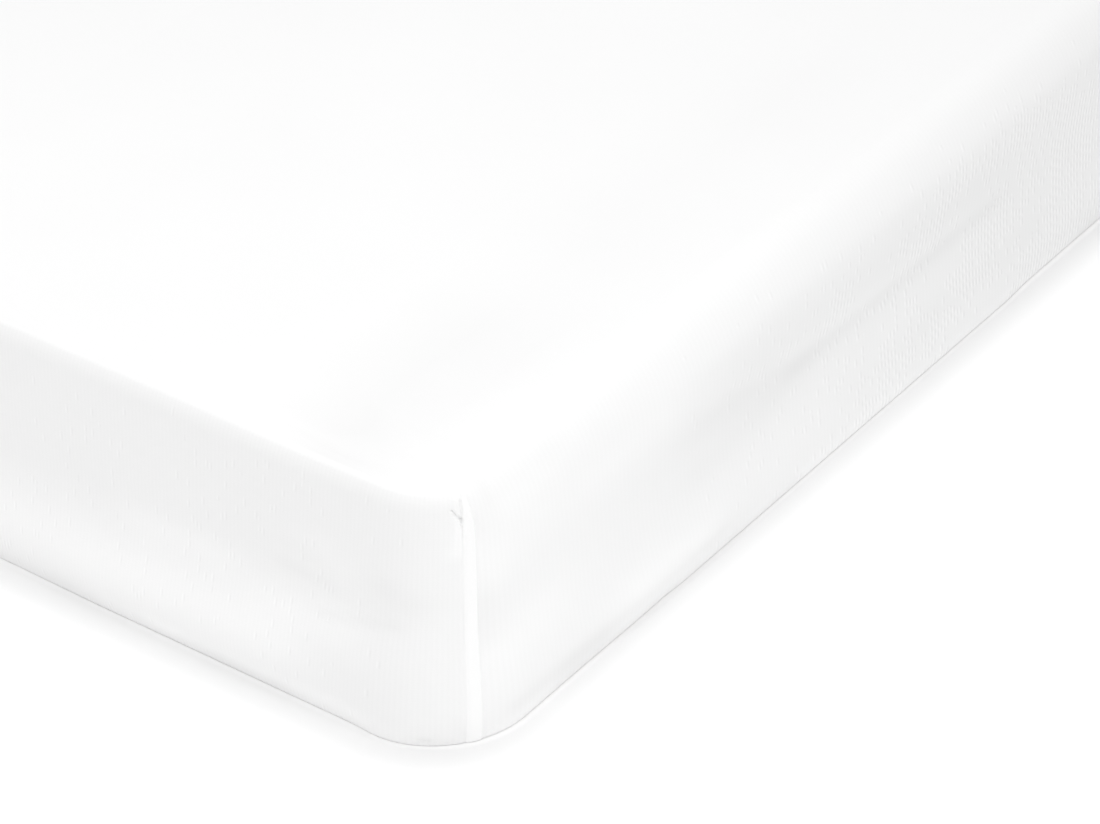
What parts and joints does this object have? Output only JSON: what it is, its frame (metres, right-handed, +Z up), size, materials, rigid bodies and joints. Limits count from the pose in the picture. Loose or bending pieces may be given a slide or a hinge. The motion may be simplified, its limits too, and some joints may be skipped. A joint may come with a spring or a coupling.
{
  "type": "fitted waterproof mattress protector on a mattress",
  "caption": "Fitted waterproof mattress protector of plain white cloth, pulled smooth over a plain mattress, with sewn corners and a hem tucked under.",
  "frame": {"origin": "middle of the surface that the dressed mattress lies on", "axes": "+Z up, the mattress is long along Y with its foot end facing -Y, and X runs across it"},
  "size_m": [0.9238, 2.024, 0.205],
  "materials": {
    "protector_cloth": "matt white knitted cloth with fine upright ribs",
    "mattress_cover": "matt off-white woven mattress cover"
  },
  "bodies": {
    "root": {"protector": "protector_cloth", "mattress": "mattress_cover"}
  },
  "joints": []
}
